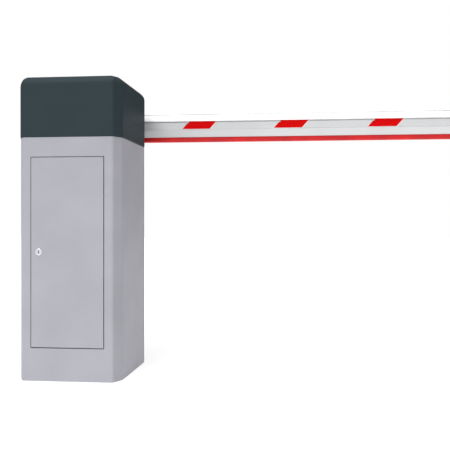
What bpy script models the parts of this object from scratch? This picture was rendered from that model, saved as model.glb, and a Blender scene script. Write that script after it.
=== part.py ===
"""A parking barrier gate.

A sheet-steel cabinet has a lift-off cap and a hinged service door. Inside, a motor and worm gearbox turn a
crank, a rod runs from the crank to a two-ended lever on the main shaft, and two balance springs pull on the
other end of the lever. A faceted aluminium boom is clamped to the shaft behind the cabinet.

Metres, +Z up. The origin is the middle of the cabinet's foot. The door faces -Y, the boom points along +X.
"""

import math

import bpy
from mathutils import Vector

for left_over in list(bpy.data.objects):
    bpy.data.objects.remove(left_over, do_unlink=True)

# ---------------------------------------------------------------- driving dimensions
GAP = 0.0003  # between pieces that touch
SHEET = 0.002
CABINET_X = 0.175  # half width
CABINET_Y = 0.145  # half depth
CHAMFER_X = 0.021
CHAMFER_Y = 0.034
RIM_Z = 0.830
CAP_LOW = 0.804
CAP_TOP = 1.010
CAP_ROUND = 0.030

DOOR_X = 0.1225  # half width of the door
DOOR_LOW, DOOR_HIGH = 0.1115, 0.7385
REVEAL = 0.003
HINGE_X, HINGE_Y = 0.119, -0.1405
LOCK_X, LOCK_Z = -0.0968, 0.4263

SHAFT_Z = 0.895
SHAFT_R = 0.020
SHAFT_FRONT, SHAFT_BACK = -0.122, 0.1777
LEVER_R = 0.070  # shaft to each pin; the crank has the same throw
PIN_R = 0.006
PIN_FRONT = -0.0145
LEVER_FRONT, LEVER_BACK = 0.0045, 0.0205
ROD_FRONT, ROD_BACK = -0.0120, 0.0
CRANK_X, CRANK_Z = 0.045, 0.700
DIAGONAL = LEVER_R * math.sqrt(0.5)

PLATE_LOW, PLATE_HIGH = 0.8375, 0.8455  # top plate of the chassis
PLATE_FRONT, PLATE_BACK = -0.128, 0.131
SIDE_X = 0.150  # inner face of the chassis side plates
FRONT_BLOCK_Y, REAR_BLOCK_Y = -0.098, 0.100
STOP_Y = -0.0565
STOP_X = 0.050

SPRING_X = -DIAGONAL
SPRING_Y = (-0.0145, 0.0395)
SPRING_LOW, SPRING_HIGH = 0.420, 0.8727
SPRING_R, WIRE_R = 0.019, 0.003

MOTOR_X, MOTOR_Y = 0.091, 0.0625

BOOM_START, BOOM_END = -0.100, 2.900
BOOM_WALL = 0.002
BOOM_MIDDLE_Y = 0.215
SEAT_FRONT, SEAT_BACK = 0.178, 0.1897
CLAMP_FRONT, CLAMP_BACK = 0.2403, 0.2483
EDGE_START = 0.085

# ---------------------------------------------------------------- collections and materials
model = bpy.data.collections.new("parking_barrier_gate")
cutters = bpy.data.collections.new("cutters")
bpy.context.scene.collection.children.link(model)
bpy.context.scene.collection.children.link(cutters)


def material(name, colour, roughness, metallic=0.0):
    made = bpy.data.materials.new(name)
    made.use_nodes = True
    surface = made.node_tree.nodes["Principled BSDF"]
    surface.inputs["Base Color"].default_value = (*colour, 1.0)
    surface.inputs["Roughness"].default_value = roughness
    surface.inputs["Metallic"].default_value = metallic
    return made


GREY_PAINT = material("grey_paint", (0.50, 0.50, 0.54), 0.45)
DARK_PAINT = material("dark_paint", (0.048, 0.058, 0.064), 0.5)
GALVANISED = material("galvanised", (0.55, 0.57, 0.58), 0.45, 0.9)
STEEL = material("steel", (0.50, 0.50, 0.50), 0.35, 1.0)
CAST = material("cast_iron", (0.10, 0.12, 0.14), 0.6, 0.6)
MOTOR_BLUE = material("motor_paint", (0.07, 0.13, 0.22), 0.45)
ALUMINIUM = material("aluminium", (0.80, 0.80, 0.82), 0.3, 0.9)
RUBBER = material("black_rubber", (0.02, 0.02, 0.02), 0.85)
RED_RUBBER = material("red_rubber", (0.60, 0.02, 0.02), 0.6)
BLACK_PLASTIC = material("black_plastic", (0.03, 0.03, 0.03), 0.5)
PALE_PLASTIC = material("pale_plastic", (0.62, 0.63, 0.62), 0.5)
SPRING_STEEL = material("spring_steel", (0.25, 0.25, 0.26), 0.4, 1.0)


# ---------------------------------------------------------------- shape functions
def place(obj, name, surface):
    """Names an object and files it in the model, or among the cutters if it has no material."""
    obj.name = name
    obj.data.name = name
    for holder in list(obj.users_collection):
        holder.objects.unlink(obj)
    if surface is None:
        cutters.objects.link(obj)
        obj.hide_render = True
        obj.display_type = "WIRE"
    else:
        model.objects.link(obj)
        obj.data.materials.clear()
        obj.data.materials.append(surface)
    return obj


def box(name, low, high, surface=None):
    low, high = Vector(low), Vector(high)
    bpy.ops.mesh.primitive_cube_add(size=1, location=(low + high) / 2)
    made = bpy.context.object
    made.scale = high - low
    bpy.ops.object.transform_apply(location=False, rotation=False, scale=True)
    return place(made, name, surface)


def cylinder(name, radius, start, end, surface=None, sides=32, top_radius=None):
    """A cylinder, or a cone if top_radius is given, from one point to another."""
    start, end = Vector(start), Vector(end)
    along = end - start
    bpy.ops.mesh.primitive_cone_add(
        vertices=sides,
        radius1=radius,
        radius2=radius if top_radius is None else top_radius,
        depth=along.length,
        location=(start + end) / 2,
        rotation=along.to_track_quat("Z", "Y").to_euler(),
    )
    return place(bpy.context.object, name, surface)


def drum(name, radius, x, z, front, back, surface=None, sides=32):
    """A cylinder along Y."""
    return cylinder(name, radius, (x, front, z), (x, back, z), surface, sides)


def post(name, radius, x, y, low, high, surface=None, sides=24):
    """A cylinder along Z."""
    return cylinder(name, radius, (x, y, low), (x, y, high), surface, sides)


def combine(target, tool, operation):
    step = target.modifiers.new(tool.name, "BOOLEAN")
    step.operation = operation
    step.object = tool
    return target


def cut(target, *tools):
    for tool in tools:
        combine(target, tool, "DIFFERENCE")
    return target


def join(target, *tools):
    for tool in tools:
        combine(target, tool, "UNION")
    return target


def plate(name, outline, thickness, location, surface=None, upright=False, holes=()):
    """A flat outline with holes, lying in XY or, if upright, standing in XZ; location is its middle."""
    curve = bpy.data.curves.new(name, "CURVE")
    curve.dimensions = "2D"
    curve.fill_mode = "BOTH"
    curve.extrude = thickness / 2
    for points in (outline, *holes):
        spline = curve.splines.new("POLY")
        spline.points.add(len(points) - 1)
        for point, (u, v) in zip(spline.points, points):
            point.co = (u, v, 0, 1)
        spline.use_cyclic_u = True
    drawn = bpy.data.objects.new(name, curve)
    model.objects.link(drawn)
    bpy.context.view_layer.update()
    graph = bpy.context.evaluated_depsgraph_get()
    mesh = bpy.data.meshes.new_from_object(drawn.evaluated_get(graph))
    bpy.data.objects.remove(drawn)
    solid = bpy.data.objects.new(name, mesh)
    model.objects.link(solid)
    weld = solid.modifiers.new("weld", "WELD")
    weld.merge_threshold = 0.00001
    solid.location = location
    if upright:
        solid.rotation_euler = (math.pi / 2, 0, 0)
    return place(solid, name, surface)


def round_top(solid, radius):
    """Rounds the edges around a plate's upper face, once that face is a single polygon."""
    flat = solid.modifiers.new("flat_faces", "DECIMATE")
    flat.decimate_type = "DISSOLVE"
    flat.angle_limit = math.radians(1)
    group = solid.vertex_groups.new(name="top")
    group.add([v.index for v in solid.data.vertices if v.co.z > 0], 1.0, "REPLACE")
    rounding = solid.modifiers.new("rounding", "BEVEL")
    rounding.width = radius
    rounding.segments = 4
    rounding.limit_method = "VGROUP"
    rounding.vertex_group = group.name


def circle(x, y, radius, sides=24):
    turn = 2 * math.pi / sides
    return [(x + radius * math.cos(i * turn), y + radius * math.sin(i * turn)) for i in range(sides)]


def rectangle(x0, y0, x1, y1):
    return [(x0, y0), (x1, y0), (x1, y1), (x0, y1)]


def bar(x0, z0, x1, z1, radius, sides=12):
    """The outline of a straight link with round ends."""
    lean = math.atan2(z1 - z0, x1 - x0)
    outline = []
    for cx, cz, start in ((x1, z1, lean - math.pi / 2), (x0, z0, lean + math.pi / 2)):
        for i in range(sides + 1):
            angle = start + math.pi * i / sides
            outline.append((cx + radius * math.cos(angle), cz + radius * math.sin(angle)))
    return outline


def cabinet_plan(grow=0.0, back=CABINET_Y):
    """The cabinet's plan from its rear right corner; only the front corners are chamfered."""
    slope = math.hypot(CHAMFER_X, CHAMFER_Y)
    shift_x = grow * (slope - CHAMFER_X) / CHAMFER_Y
    shift_y = grow * (slope - CHAMFER_Y) / CHAMFER_X
    wide, front = CABINET_X + grow, -CABINET_Y - grow
    turn_x, turn_y = CABINET_X - CHAMFER_X + shift_x, -CABINET_Y + CHAMFER_Y - shift_y
    rear, left = [(wide, back), (-wide, back)], [(-wide, turn_y), (-turn_x, front)]
    return rear + left + [(turn_x, front), (wide, turn_y)]


# ---------------------------------------------------------------- cabinet
def make_shell():
    """A folded wrap, open at the back between two return flanges, with the door opening and its side lips."""
    back = CABINET_Y - SHEET - GAP
    flange = CABINET_X - 0.025
    wrap = [(flange, back)] + cabinet_plan(back=back)[:1]
    wrap += list(reversed(cabinet_plan(back=back)[1:]))
    wrap += [(-flange, back)]
    mesh = bpy.data.meshes.new("cabinet_shell")
    low = [(x, y, 0.0) for x, y in wrap]
    high = [(x, y, RIM_Z) for x, y in wrap]
    count = len(wrap)
    walls = [(i, i + 1, i + 1 + count, i + count) for i in range(count - 1)]
    mesh.from_pydata(low + high, [], walls)
    shell = bpy.data.objects.new("cabinet_shell", mesh)
    place(shell, "cabinet_shell", GREY_PAINT)
    sheet = shell.modifiers.new("sheet", "SOLIDIFY")
    sheet.thickness = SHEET
    sheet.offset = 1
    sheet.use_even_offset = True
    edge = DOOR_X + REVEAL
    low, high = DOOR_LOW - REVEAL, DOOR_HIGH + REVEAL
    cut(shell, box("door_opening", (-edge, -0.16, low), (edge, -0.14, high)))
    for side, near, far in (("left", -edge - SHEET, -edge), ("right", edge, edge + SHEET)):
        join(shell, box(f"lip_{side}", (near, -0.1440, low), (far, -0.1375, high)))


def make_rear_panel():
    tab = 0.045
    outline = [
        (-CABINET_X, 0), (CABINET_X, 0), (CABINET_X, RIM_Z), (tab, RIM_Z),
        (tab, 0.932), (tab - 0.008, 0.940), (-tab + 0.008, 0.940), (-tab, 0.932),
        (-tab, RIM_Z), (-CABINET_X, RIM_Z),
    ]
    middle = CABINET_Y - SHEET / 2
    shaft_hole = circle(0, SHAFT_Z, SHAFT_R + 0.003, 32)
    plate("rear_panel", outline, SHEET, (0, middle, 0), GREY_PAINT, True, [shaft_hole])


def make_base():
    inset = GAP + SHEET
    corners = cabinet_plan(-inset - GAP, CABINET_Y - 2 * inset - GAP)
    anchors = [(x, y) for y in (-0.095, 0.105) for x in (-0.130, 0.130)]
    gland = (-0.070, 0.030)
    holes = [circle(x, y, 0.0075, 16) for x, y in anchors] + [circle(*gland, 0.026)]
    plate("base_plate", corners, 0.006, (0, 0, 0.003), GALVANISED, False, holes)
    for number, (x, y) in enumerate(anchors, 1):
        bolt = post(f"anchor_bolt_{number}", 0.006, x, y, 0.0003, 0.040, STEEL, 16)
        join(bolt, post(f"washer_{number}", 0.013, x, y, 0.0063, 0.0088))
        join(bolt, post(f"nut_{number}", 0.0105, x, y, 0.0086, 0.0190, None, 6))
    x, y = gland
    body = post("cable_gland", 0.0255, x, y, 0.0010, 0.0130, BLACK_PLASTIC)
    join(body, post("gland_flange", 0.033, x, y, 0.0063, 0.0105))
    cut(body, post("gland_bore", 0.019, x, y, -0.01, 0.03))


def make_cap():
    """A five-sided cover with rounded top edges, an inner ledge, and a slot for the shaft open at the bottom."""
    grow = GAP + SHEET
    outline = cabinet_plan(grow, CABINET_Y + grow)
    depth = CAP_TOP - CAP_LOW
    cap = plate("cap", outline, depth, (0, 0, CAP_LOW + depth / 2), DARK_PAINT)
    round_top(cap, CAP_ROUND)
    inner_top = CAP_TOP - SHEET
    middle = (0, 0, inner_top - depth / 2)
    inner = plate("cap_hollow", cabinet_plan(GAP, CABINET_Y + GAP), depth, middle)
    round_top(inner, CAP_ROUND - SHEET)
    cut(cap, inner)
    ledge_outer = cabinet_plan(GAP + SHEET / 2, CABINET_Y + GAP + SHEET / 2)
    ledge_inner = cabinet_plan(-0.012, CABINET_Y - 0.012)
    middle = (0, 0, RIM_Z + GAP + SHEET / 2)
    ledge = plate("cap_ledge", ledge_outer, SHEET, middle, None, False, [ledge_inner])
    join(cap, ledge)
    cut(cap, box("ledge_gap", (-0.048, 0.12, 0.82), (0.048, CABINET_Y + GAP, 0.84)))
    slot = SHAFT_R + 0.005
    cut(cap, box("shaft_slot", (-slot, 0.13, 0.79), (slot, 0.16, SHAFT_Z)))
    cut(cap, drum("shaft_slot_end", slot, 0, SHAFT_Z, 0.13, 0.16))


# ---------------------------------------------------------------- door
def make_door():
    face, deep = -CABINET_Y, -0.131
    door = box("door_panel", (-DOOR_X, face, DOOR_LOW), (DOOR_X, face + SHEET, DOOR_HIGH), GREY_PAINT)
    inner = face + SHEET / 2
    right = DOOR_X - SHEET
    join(door, box("door_fold_right", (right, inner, DOOR_LOW), (DOOR_X, deep, DOOR_HIGH)))
    for end, low in (("upper", DOOR_HIGH - SHEET), ("lower", DOOR_LOW)):
        join(door, box(f"door_fold_{end}", (-0.105, inner, low), (DOOR_X - 0.001, deep, low + SHEET)))
    knuckle = 0.020
    for end, low in (("upper", DOOR_HIGH - knuckle), ("lower", DOOR_LOW)):
        high = low + knuckle
        join(door, post(f"door_knuckle_{end}", 0.0036, HINGE_X, HINGE_Y, low, high, None, 16))
        low, high = low - 0.005, high + 0.005
        cut(door, post(f"door_pin_bore_{end}", 0.0023, HINGE_X, HINGE_Y, low, high, None, 16))
    cut(door, drum("lock_hole", 0.0100, LOCK_X, LOCK_Z, -0.15, -0.13))

    for end, low, high, tip in (
        ("upper", DOOR_HIGH + 0.0055, DOOR_HIGH + 0.0255, DOOR_HIGH - 0.015),
        ("lower", DOOR_LOW - 0.0255, DOOR_LOW - 0.0055, DOOR_LOW + 0.015),
    ):
        back = -CABINET_Y + SHEET + GAP
        bracket = box(f"hinge_bracket_{end}", (0.108, back, low), (0.145, -0.130, high), GALVANISED)
        middle = (low + high) / 2
        join(bracket, post(f"hinge_pin_{end}", 0.0019, HINGE_X, HINGE_Y, middle, tip, None, 16))

    barrel = drum("lock_barrel", 0.0096, LOCK_X, LOCK_Z, -0.1460, -0.1365, STEEL)
    join(barrel, drum("lock_flange", 0.0115, LOCK_X, LOCK_Z, -0.1470, -CABINET_Y - GAP))
    cut(barrel, drum("lock_bore", 0.0063, LOCK_X, LOCK_Z, -0.15, -0.13))
    cam = drum("lock_cam", 0.0060, LOCK_X, LOCK_Z, -0.1466, -0.1345, STEEL)
    tongue = bar(LOCK_X, LOCK_Z, LOCK_X, LOCK_Z - 0.037, 0.008, 8)
    join(cam, plate("lock_tongue", tongue, 0.0025, (0, -0.1349, 0), None, True))
    low, high = (LOCK_X - 0.001, -0.15, LOCK_Z - 0.0035), (LOCK_X + 0.001, -0.143, LOCK_Z + 0.0035)
    cut(cam, box("keyhole", low, high))


# ---------------------------------------------------------------- chassis and bearings
def make_chassis():
    outer = SIDE_X + 0.006
    rail_outer = CABINET_X - SHEET - GAP
    for side, sign in (("left", -1), ("right", 1)):
        near, far = sorted((sign * SIDE_X, sign * outer))
        low, high = (near, -0.110, 0.600), (far, 0.125, PLATE_LOW - GAP)
        box(f"chassis_{side}_plate", low, high, GALVANISED)
        near, far = sorted((sign * (outer + GAP), sign * rail_outer))
        rail = box(f"support_rail_{side}", (near, -0.100, 0.610), (far, 0.115, 0.650), GALVANISED)
        cut(rail, box(f"rail_bore_{side}", (near + 0.002, -0.2, 0.612), (far - 0.002, 0.2, 0.648)))
    outline = rectangle(-outer, PLATE_FRONT, outer, PLATE_BACK)
    window = rectangle(-0.105, -0.042, 0.112, 0.069)
    middle = (PLATE_LOW + PLATE_HIGH) / 2
    thick = PLATE_HIGH - PLATE_LOW
    plate("chassis_top_plate", outline, thick, (0, 0, middle), GALVANISED, False, [window])
    low, high = (-0.060, 0.1052, 0.650), (SIDE_X - GAP, 0.1132, PLATE_LOW - GAP)
    box("gearbox_bracket", low, high, GALVANISED)


def make_bearing(name, y):
    """A pillow block: a foot with a round housing on it, bored for the shaft."""
    foot = PLATE_HIGH + GAP
    block = box(name, (-0.092, y - 0.027, foot), (0.092, y + 0.027, foot + 0.016), CAST)
    join(block, box(f"{name}_web", (-0.038, y - 0.015, foot + 0.010), (0.038, y + 0.015, SHAFT_Z)))
    join(block, drum(f"{name}_ring", 0.044, 0, SHAFT_Z, y - 0.017, y + 0.017))
    cut(block, drum(f"{name}_bore", SHAFT_R + GAP, 0, SHAFT_Z, y - 0.05, y + 0.05))


def make_stops():
    foot = PLATE_HIGH + GAP
    top = SHAFT_Z - 0.010 - GAP
    for name, x in (("stop_buffer_closed", STOP_X), ("stop_buffer_open", -STOP_X)):
        buffer = post(name, 0.006, x, STOP_Y, foot, top - 0.010, RUBBER, 16)
        join(buffer, post(f"{name}_nut", 0.010, x, STOP_Y, foot, foot + 0.008, None, 6))
        join(buffer, post(f"{name}_pad", 0.0115, x, STOP_Y, top - 0.018, top))
    for name, x in (("position_sensor_closed", 0.074), ("position_sensor_open", -0.074)):
        body = box(name, (x - 0.006, STOP_Y - 0.008, foot), (x + 0.006, STOP_Y + 0.008, 0.905), BLACK_PLASTIC)
        out = math.copysign(0.014, x)
        near, far = sorted((x, x + out))
        join(body, box(f"{name}_foot", (near, STOP_Y - 0.008, foot), (far, STOP_Y + 0.008, foot + 0.003)))


# ---------------------------------------------------------------- drive
def make_gearbox():
    case = box("gearbox_case", (-0.010, 0.0350, 0.644), (0.100, 0.1049, 0.756), CAST)
    join(case, post("worm_housing", 0.022, MOTOR_X, MOTOR_Y, 0.644, 0.756, None, 32))
    cut(case, drum("wheel_chamber", 0.040, CRANK_X, CRANK_Z, 0.03, 0.090))
    cut(case, post("worm_chamber", 0.0135, MOTOR_X, MOTOR_Y, 0.63, 0.740))
    cover = drum("gearbox_cover", 0.050, CRANK_X, CRANK_Z, 0.0290, 0.0350 - GAP, ALUMINIUM, 40)
    cut(cover, drum("cover_bore", 0.0155, CRANK_X, CRANK_Z, 0.02, 0.04))

    shaft = drum("output_shaft", 0.015, CRANK_X, CRANK_Z, 0.0, 0.088, STEEL)
    join(shaft, drum("worm_wheel", 0.034, CRANK_X, CRANK_Z, 0.052, 0.073, None, 40))

    motor = post("motor_body", 0.050, MOTOR_X, MOTOR_Y, 0.455, 0.622, MOTOR_BLUE, 40)
    join(motor, post("motor_flange", 0.032, MOTOR_X, MOTOR_Y, 0.612, 0.644 - GAP))
    cut(motor, post("motor_hollow", 0.042, MOTOR_X, MOTOR_Y, 0.44, 0.610))
    cut(motor, post("motor_shaft_bore", 0.0075, MOTOR_X, MOTOR_Y, 0.60, 0.66))
    box("motor_terminal_box", (0.060, -0.0150, 0.520), (0.122, 0.0110, 0.590), MOTOR_BLUE)
    fan_cover = post("motor_fan_cover", 0.051, MOTOR_X, MOTOR_Y, 0.400, 0.455 - GAP, BLACK_PLASTIC, 40)
    cut(fan_cover, post("fan_space", 0.0485, MOTOR_X, MOTOR_Y, 0.403, 0.47))
    cut(fan_cover, post("fan_inlet", 0.030, MOTOR_X, MOTOR_Y, 0.39, 0.42))

    rotor = post("motor_rotor", 0.006, MOTOR_X, MOTOR_Y, 0.420, 0.735, STEEL, 16)
    join(rotor, post("rotor_core", 0.038, MOTOR_X, MOTOR_Y, 0.478, 0.598, None, 32))
    join(rotor, post("worm", 0.0100, MOTOR_X, MOTOR_Y, 0.668, 0.731))
    join(rotor, post("fan_hub", 0.040, MOTOR_X, MOTOR_Y, 0.443, 0.446))
    blades, reach = 6, 0.028
    for i in range(blades):
        blade = box(f"fan_blade_{i}", (0.014, -0.001, 0.425), (0.042, 0.001, 0.4445))
        turn = 2 * math.pi * i / blades
        blade.rotation_euler.z = turn
        blade.location.x = MOTOR_X + reach * math.cos(turn)
        blade.location.y = MOTOR_Y + reach * math.sin(turn)
        join(rotor, blade)


def make_crank():
    pin_x, pin_z = CRANK_X + DIAGONAL, CRANK_Z - DIAGONAL
    outline = bar(CRANK_X, CRANK_Z, pin_x, pin_z, 0.015)
    middle = (LEVER_FRONT + LEVER_BACK) / 2
    crank = plate("crank_arm", outline, LEVER_BACK - LEVER_FRONT, (0, middle, 0), STEEL, True)
    join(crank, drum("crank_hub", 0.025, CRANK_X, CRANK_Z, 0.0025, 0.0285))
    join(crank, drum("crank_pin", PIN_R, pin_x, pin_z, PIN_FRONT, LEVER_BACK - 0.002, None, 20))
    cut(crank, drum("crank_bore", 0.0153, CRANK_X, CRANK_Z, -0.01, 0.04))

    top_x, top_z = DIAGONAL, SHAFT_Z - DIAGONAL
    outline = bar(pin_x, pin_z, top_x, top_z, 0.014)
    holes = [circle(pin_x, pin_z, PIN_R + 0.0004), circle(top_x, top_z, PIN_R + 0.0008)]
    middle = (ROD_FRONT + ROD_BACK) / 2
    plate("connecting_rod", outline, ROD_BACK - ROD_FRONT, (0, middle, 0), STEEL, True, holes)


def make_main_lever():
    """A straight two-ended lever: the rod drives its lower end and the springs pull on its upper end."""
    drum("main_shaft", SHAFT_R, 0, SHAFT_Z, SHAFT_FRONT, SHAFT_BACK, STEEL, 40)
    outline = bar(-DIAGONAL, SHAFT_Z + DIAGONAL, DIAGONAL, SHAFT_Z - DIAGONAL, 0.016)
    spring_eye = circle(-DIAGONAL, SHAFT_Z + DIAGONAL, PIN_R + 0.0004)
    middle = (LEVER_FRONT + LEVER_BACK) / 2
    thick = LEVER_BACK - LEVER_FRONT
    lever = plate("main_lever", outline, thick, (0, middle, 0), STEEL, True, [spring_eye])
    join(lever, drum("lever_hub", 0.032, 0, SHAFT_Z, -0.010, 0.035))
    back = LEVER_BACK - 0.002
    join(lever, drum("drive_pin", PIN_R, DIAGONAL, SHAFT_Z - DIAGONAL, PIN_FRONT, back, None, 20))
    cut(lever, drum("lever_bore", SHAFT_R + GAP, 0, SHAFT_Z, -0.03, 0.05, None, 40))

    reach, half = STOP_X + 0.012, 0.007
    stop = drum("stop_lever", 0.030, 0, SHAFT_Z, STOP_Y - half, STOP_Y + half, STEEL)
    low, high = (0, STOP_Y - half, SHAFT_Z - 0.010), (reach, STOP_Y + half, SHAFT_Z + 0.010)
    join(stop, box("stop_arm_closed", low, high))
    half -= 0.0001
    low, high = (-0.010, STOP_Y - half, SHAFT_Z), (0.010, STOP_Y + half, SHAFT_Z + reach)
    join(stop, box("stop_arm_open", low, high))
    cut(stop, drum("stop_bore", SHAFT_R + GAP, 0, SHAFT_Z, -0.08, -0.03, None, 40))


def make_springs():
    """A yoke hangs from the lever on a pin; two coil springs run from its cross bar to the adjusters."""
    pin_x, pin_z = -DIAGONAL, SHAFT_Z + DIAGONAL
    low, high = (pin_x - 0.008, -0.036, SPRING_HIGH + GAP), (pin_x + 0.008, 0.061, 0.885)
    hanger = box("spring_hanger", low, high, STEEL)
    for name, front in (("front", -0.0025), ("back", 0.0215)):
        cheek = bar(pin_x, pin_z, pin_x, 0.886, 0.0125)
        join(hanger, plate(f"hanger_cheek_{name}", cheek, 0.006, (0, front + 0.003, 0), None, True))
    join(hanger, drum("hanger_pin", PIN_R, pin_x, pin_z, -0.004, 0.029, None, 20))

    box_low, box_high = 0.350, 0.390
    wall = CABINET_X - SHEET - GAP
    channel = box("spring_crossbar", (-wall, -0.035, box_low), (wall, 0.060, box_high), GALVANISED)
    cut(channel, box("channel_hollow", (-0.2, -0.031, box_low - 0.01), (0.2, 0.056, box_high - 0.004)))
    for number, y in enumerate(SPRING_Y, 1):
        cut(channel, post(f"adjuster_hole_{number}", 0.0065, SPRING_X, y, 0.37, 0.40))
        low, high = 0.338, SPRING_LOW - 0.008
        bolt = post(f"spring_adjuster_{number}", 0.006, SPRING_X, y, low, high, STEEL, 16)
        for end, low, high in (("low", 0.3755, 0.3857), ("high", 0.3903, 0.400)):
            join(bolt, post(f"adjuster_nut_{end}_{number}", 0.011, SPRING_X, y, low, high, None, 6))
        low, high = SPRING_LOW - 0.010, SPRING_LOW - GAP
        join(bolt, post(f"adjuster_seat_{number}", 0.015, SPRING_X, y, low, high))
        make_coil(f"spring_{number}", SPRING_X, y)


def make_coil(name, x, y):
    turns, steps = 20, 8
    low, high = SPRING_LOW + WIRE_R, SPRING_HIGH - WIRE_R
    curve = bpy.data.curves.new(name, "CURVE")
    curve.dimensions = "3D"
    curve.bevel_depth = WIRE_R
    curve.bevel_resolution = 0
    curve.use_fill_caps = True
    spline = curve.splines.new("POLY")
    count = turns * steps
    spline.points.add(count)
    for i, point in enumerate(spline.points):
        angle = 2 * math.pi * i / steps
        height = low + (high - low) * i / count
        point.co = (x + SPRING_R * math.cos(angle), y + SPRING_R * math.sin(angle), height, 1)
    place(bpy.data.objects.new(name, curve), name, SPRING_STEEL)


# ---------------------------------------------------------------- electrics
def make_electrics():
    rack = box("equipment_plate", (-0.150, 0.1290, 0.110), (0.150, 0.1310, 0.335), GALVANISED)
    spacer_back = CABINET_Y - 2 * SHEET - 2 * GAP - 0.0005
    for i, (x, z) in enumerate([(x, z) for x in (-0.140, 0.140) for z in (0.125, 0.320)]):
        join(rack, drum(f"rack_spacer_{i}", 0.006, x, z, 0.1305, spacer_back, None, 12))
    case = box("control_box_case", (-0.135, 0.060, 0.120), (0.035, 0.1290 - GAP, 0.325), PALE_PLASTIC)
    cut(case, box("case_hollow", (-0.132, 0.05, 0.123), (0.032, 0.1257, 0.322)))
    box("control_box_lid", (-0.137, 0.050, 0.118), (0.037, 0.060 - GAP, 0.327), PALE_PLASTIC)
    body = box("breaker_body", (0.060, 0.070, 0.230), (0.096, 0.1290 - GAP, 0.315), PALE_PLASTIC)
    cut(body, box("toggle_recess", (0.070, 0.06, 0.255), (0.086, 0.082, 0.290)))
    pivot_y, pivot_z = 0.0755, 0.2725
    start, end = (0.0705, pivot_y, pivot_z), (0.0855, pivot_y, pivot_z)
    toggle = cylinder("breaker_toggle", 0.0050, start, end, BLACK_PLASTIC, 16)
    lever = box("toggle_lever", (0.0725, -0.016, -0.0022), (0.0835, 0.0, 0.0022))
    lean, half = math.radians(30), 0.008
    lever.rotation_euler.x = lean
    lever.location = (0.078, pivot_y - half * math.cos(lean), pivot_z - half * math.sin(lean))
    join(toggle, lever)


# ---------------------------------------------------------------- boom
def boom_section(inset=0.0):
    """The boom's eight-sided section in the YZ plane, with the flat face towards the cabinet."""
    half, high_half, low_half = 0.025 - inset, 0.007, 0.012
    slant = 0.41 * inset
    top, bottom = 0.943 - inset, 0.851 + inset
    upper, lower = 0.910 - slant, 0.878 + slant
    front, back = BOOM_MIDDLE_Y - half, BOOM_MIDDLE_Y + half
    high_half, low_half = high_half - slant * 0.5, low_half - slant
    return [
        (front, lower), (front, upper),
        (BOOM_MIDDLE_Y - high_half, top), (BOOM_MIDDLE_Y + high_half, top),
        (back, upper), (back, lower),
        (BOOM_MIDDLE_Y + low_half, bottom), (BOOM_MIDDLE_Y - low_half, bottom),
    ]


def extrusion(name, section, start, end, surface=None, hole=()):
    """A YZ outline run along X: it is drawn flat, then stood up to face +X."""
    made = plate(name, section, end - start, ((start + end) / 2, 0, 0), surface, False, hole)
    made.rotation_euler = (math.pi / 2, 0, math.pi / 2)
    return made


def make_boom():
    inside = [boom_section(BOOM_WALL)]
    extrusion("boom_extrusion", boom_section(), BOOM_START, BOOM_END, ALUMINIUM, inside)
    plug = boom_section(BOOM_WALL + GAP)
    for name, face, out, inward in (
        ("boom_end_cap", BOOM_END + GAP, BOOM_END + 0.005, BOOM_END - 0.020),
        ("boom_tail_cap", BOOM_START - GAP, BOOM_START - 0.005, BOOM_START + 0.020),
    ):
        cap = extrusion(name, boom_section(), min(face, out), max(face, out), BLACK_PLASTIC)
        middle = (face + out) / 2
        join(cap, extrusion(f"{name}_plug", plug, min(middle, inward), max(middle, inward)))
    low = (EDGE_START, BOOM_MIDDLE_Y - 0.009, 0.8325)
    box("boom_rubber_edge", low, (BOOM_END, BOOM_MIDDLE_Y + 0.009, 0.851 - GAP), RED_RUBBER)


def make_clamp():
    width, height = 0.070, 0.068
    seat = rectangle(-width, SHAFT_Z - height, width, SHAFT_Z + height)
    bolts = [(x, z) for x in (-0.050, 0.050) for z in (SHAFT_Z - 0.053, SHAFT_Z + 0.057)]
    holes = [circle(x, z, 0.0063, 16) for x, z in bolts]
    thick = SEAT_BACK - SEAT_FRONT
    flange = plate("hub_flange", seat, thick, (0, SEAT_FRONT + thick / 2, 0), DARK_PAINT, True, holes)
    join(flange, drum("flange_hub", 0.036, 0, SHAFT_Z, 0.150, SEAT_FRONT + 0.002))
    cut(flange, drum("hub_bore", SHAFT_R + GAP, 0, SHAFT_Z, 0.14, SEAT_FRONT, None, 40))
    thick = CLAMP_BACK - CLAMP_FRONT
    plate("boom_clamp_plate", seat, thick, (0, CLAMP_FRONT + thick / 2, 0), DARK_PAINT, True, holes)
    for number, (x, z) in enumerate(bolts, 1):
        bolt = drum(f"clamp_bolt_{number}", 0.0060, x, z, 0.1720, 0.2600, STEEL, 16)
        join(bolt, drum(f"clamp_bolt_head_{number}", 0.0100, x, z, 0.1700, SEAT_FRONT - GAP, None, 6))
        join(bolt, drum(f"clamp_bolt_nut_{number}", 0.0100, x, z, CLAMP_BACK + GAP, 0.2580, None, 6))


make_shell()
make_rear_panel()
make_base()
make_cap()
make_door()
make_chassis()
make_bearing("bearing_block_front", FRONT_BLOCK_Y)
make_bearing("bearing_block_rear", REAR_BLOCK_Y)
make_stops()
make_gearbox()
make_crank()
make_main_lever()
make_springs()
make_electrics()
make_boom()
make_clamp()
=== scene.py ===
"""Looks for a parking barrier gate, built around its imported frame."""

import math

import bpy
from mathutils import Matrix, Vector


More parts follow.
